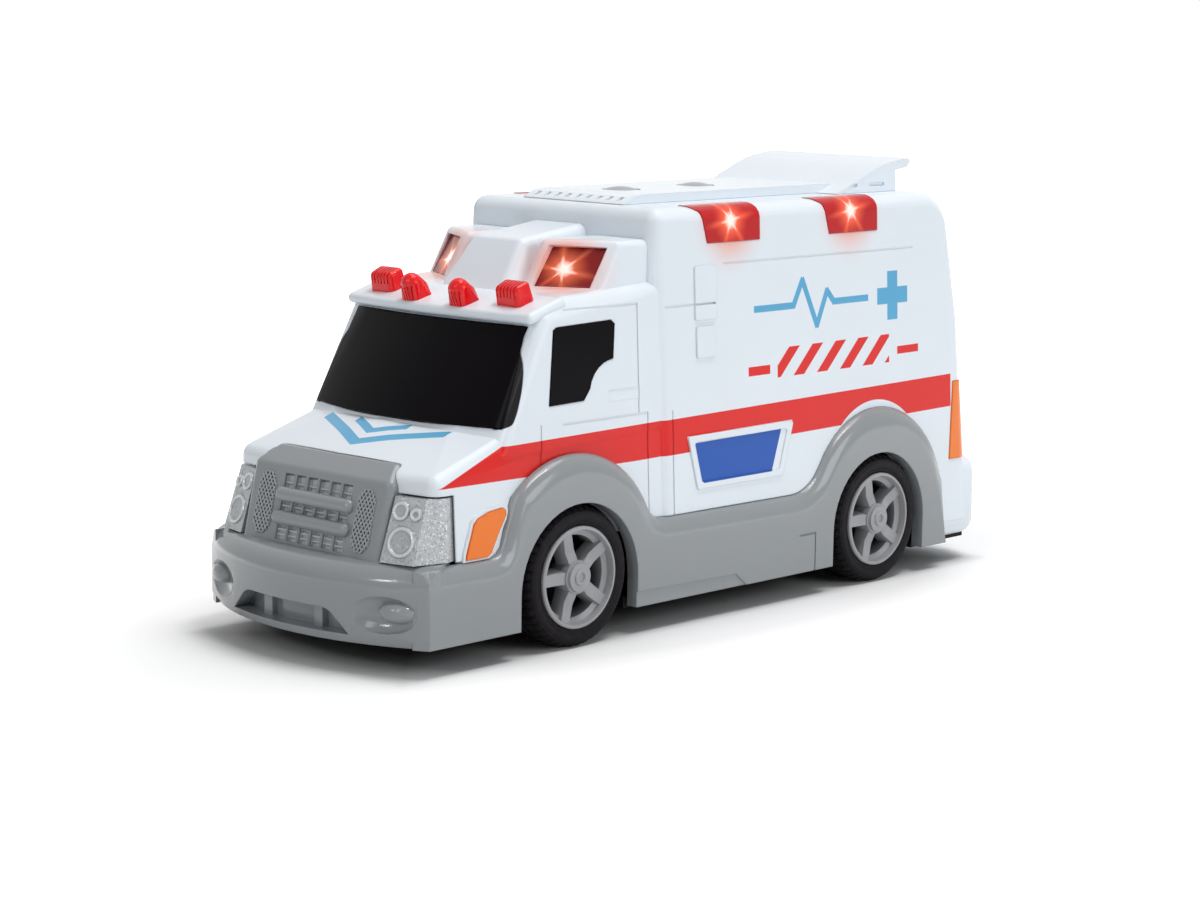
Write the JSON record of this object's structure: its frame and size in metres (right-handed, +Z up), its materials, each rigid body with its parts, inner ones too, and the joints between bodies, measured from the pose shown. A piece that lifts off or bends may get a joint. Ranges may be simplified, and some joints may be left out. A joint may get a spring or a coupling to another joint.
{
  "type": "toy ambulance",
  "caption": "Van-type toy ambulance with grey bumper and skirts, rolling wheels, red roof lamps, push buttons in the roof and a lifting tailgate.",
  "frame": {"origin": "on the ground under the middle of the toy", "axes": "+X forward along the toy, +Y to its left side, +Z up"},
  "size_m": [0.1504, 0.0514, 0.0738],
  "materials": {
    "white_shell": "glossy white moulded plastic",
    "grey_plastic": "glossy mid-grey moulded plastic",
    "liner_plastic": "satin light-grey plastic",
    "dark_chassis": "matt near-black plastic",
    "black_glazing": "glossy black plastic",
    "silver_flake": "silver plastic with metal flake",
    "amber_lens": "glossy orange plastic",
    "red_lens": "glossy translucent red plastic",
    "tyre_rubber": "soft black rubber",
    "steel": "plain steel",
    "board_green": "green coated board",
    "led_body": "clear to milky resin"
  },
  "bodies": {
    "body": {"upper_shell": "white_shell", "roof_panel": "white_shell", "lower_body": "grey_plastic", "compartment_liner": "liner_plastic", "chassis_base": "dark_chassis", "battery_door": "dark_chassis", "speaker": "dark_chassis", "windscreen": "black_glazing", "door_window_left": "black_glazing", "door_window_right": "black_glazing", "headlight_left": "silver_flake", "headlight_right": "silver_flake", "front_signal_left": "amber_lens", "front_signal_right": "amber_lens", "rear_signal_left": "amber_lens", "rear_signal_right": "amber_lens", "marker_lamp_1": "red_lens", "marker_lamp_2": "red_lens", "marker_lamp_3": "red_lens", "marker_lamp_4": "red_lens", "beacon_left": "red_lens", "beacon_right": "red_lens", "side_lamp_front_left": "red_lens", "side_lamp_rear_left": "red_lens", "side_lamp_front_right": "red_lens", "side_lamp_rear_right": "red_lens", "button_cells": "steel", "battery_contacts": "steel", "battery_door_screw": "steel", "chassis_screws": "steel", "circuit_board": "board_green", "side_leds": "led_body", "beacon_leds": "led_body"},
    "front_wheelset": {"front_axle": "steel", "rim_front_left": "grey_plastic", "rim_front_right": "grey_plastic", "tyre_front_left": "tyre_rubber", "tyre_front_right": "tyre_rubber"},
    "rear_wheelset": {"rear_axle": "steel", "rim_rear_left": "grey_plastic", "rim_rear_right": "grey_plastic", "tyre_rear_left": "tyre_rubber", "tyre_rear_right": "tyre_rubber"},
    "front_button": {"button_front": "grey_plastic"},
    "rear_button": {"button_rear": "grey_plastic"},
    "rear_door": {"tailgate": "white_shell", "tailgate_window": "black_glazing"}
  },
  "joints": [
    {"name": "front_axle_spin", "type": "hinge", "parent": "body", "child": "front_wheelset", "pos_m": [0.0353, 0, 0.0113], "axis": [0, 1, 0], "continuous": true},
    {"name": "rear_axle_spin", "type": "hinge", "parent": "body", "child": "rear_wheelset", "pos_m": [-0.0406, 0, 0.0113], "axis": [0, 1, 0], "continuous": true},
    {"name": "front_button_press", "type": "slide", "parent": "body", "child": "front_button", "axis": [0, 0, -1], "range_m": [0, 0.001], "stiffness_N_per_m": 600, "springref_m": -0.0005},
    {"name": "rear_button_press", "type": "slide", "parent": "body", "child": "rear_button", "axis": [0, 0, -1], "range_m": [0, 0.001], "stiffness_N_per_m": 600, "springref_m": -0.0005},
    {"name": "tailgate_hinge", "type": "hinge", "parent": "body", "child": "rear_door", "pos_m": [-0.06139, 0, 0.0592], "axis": [0, 1, 0], "range_deg": [0, 85]}
  ]
}
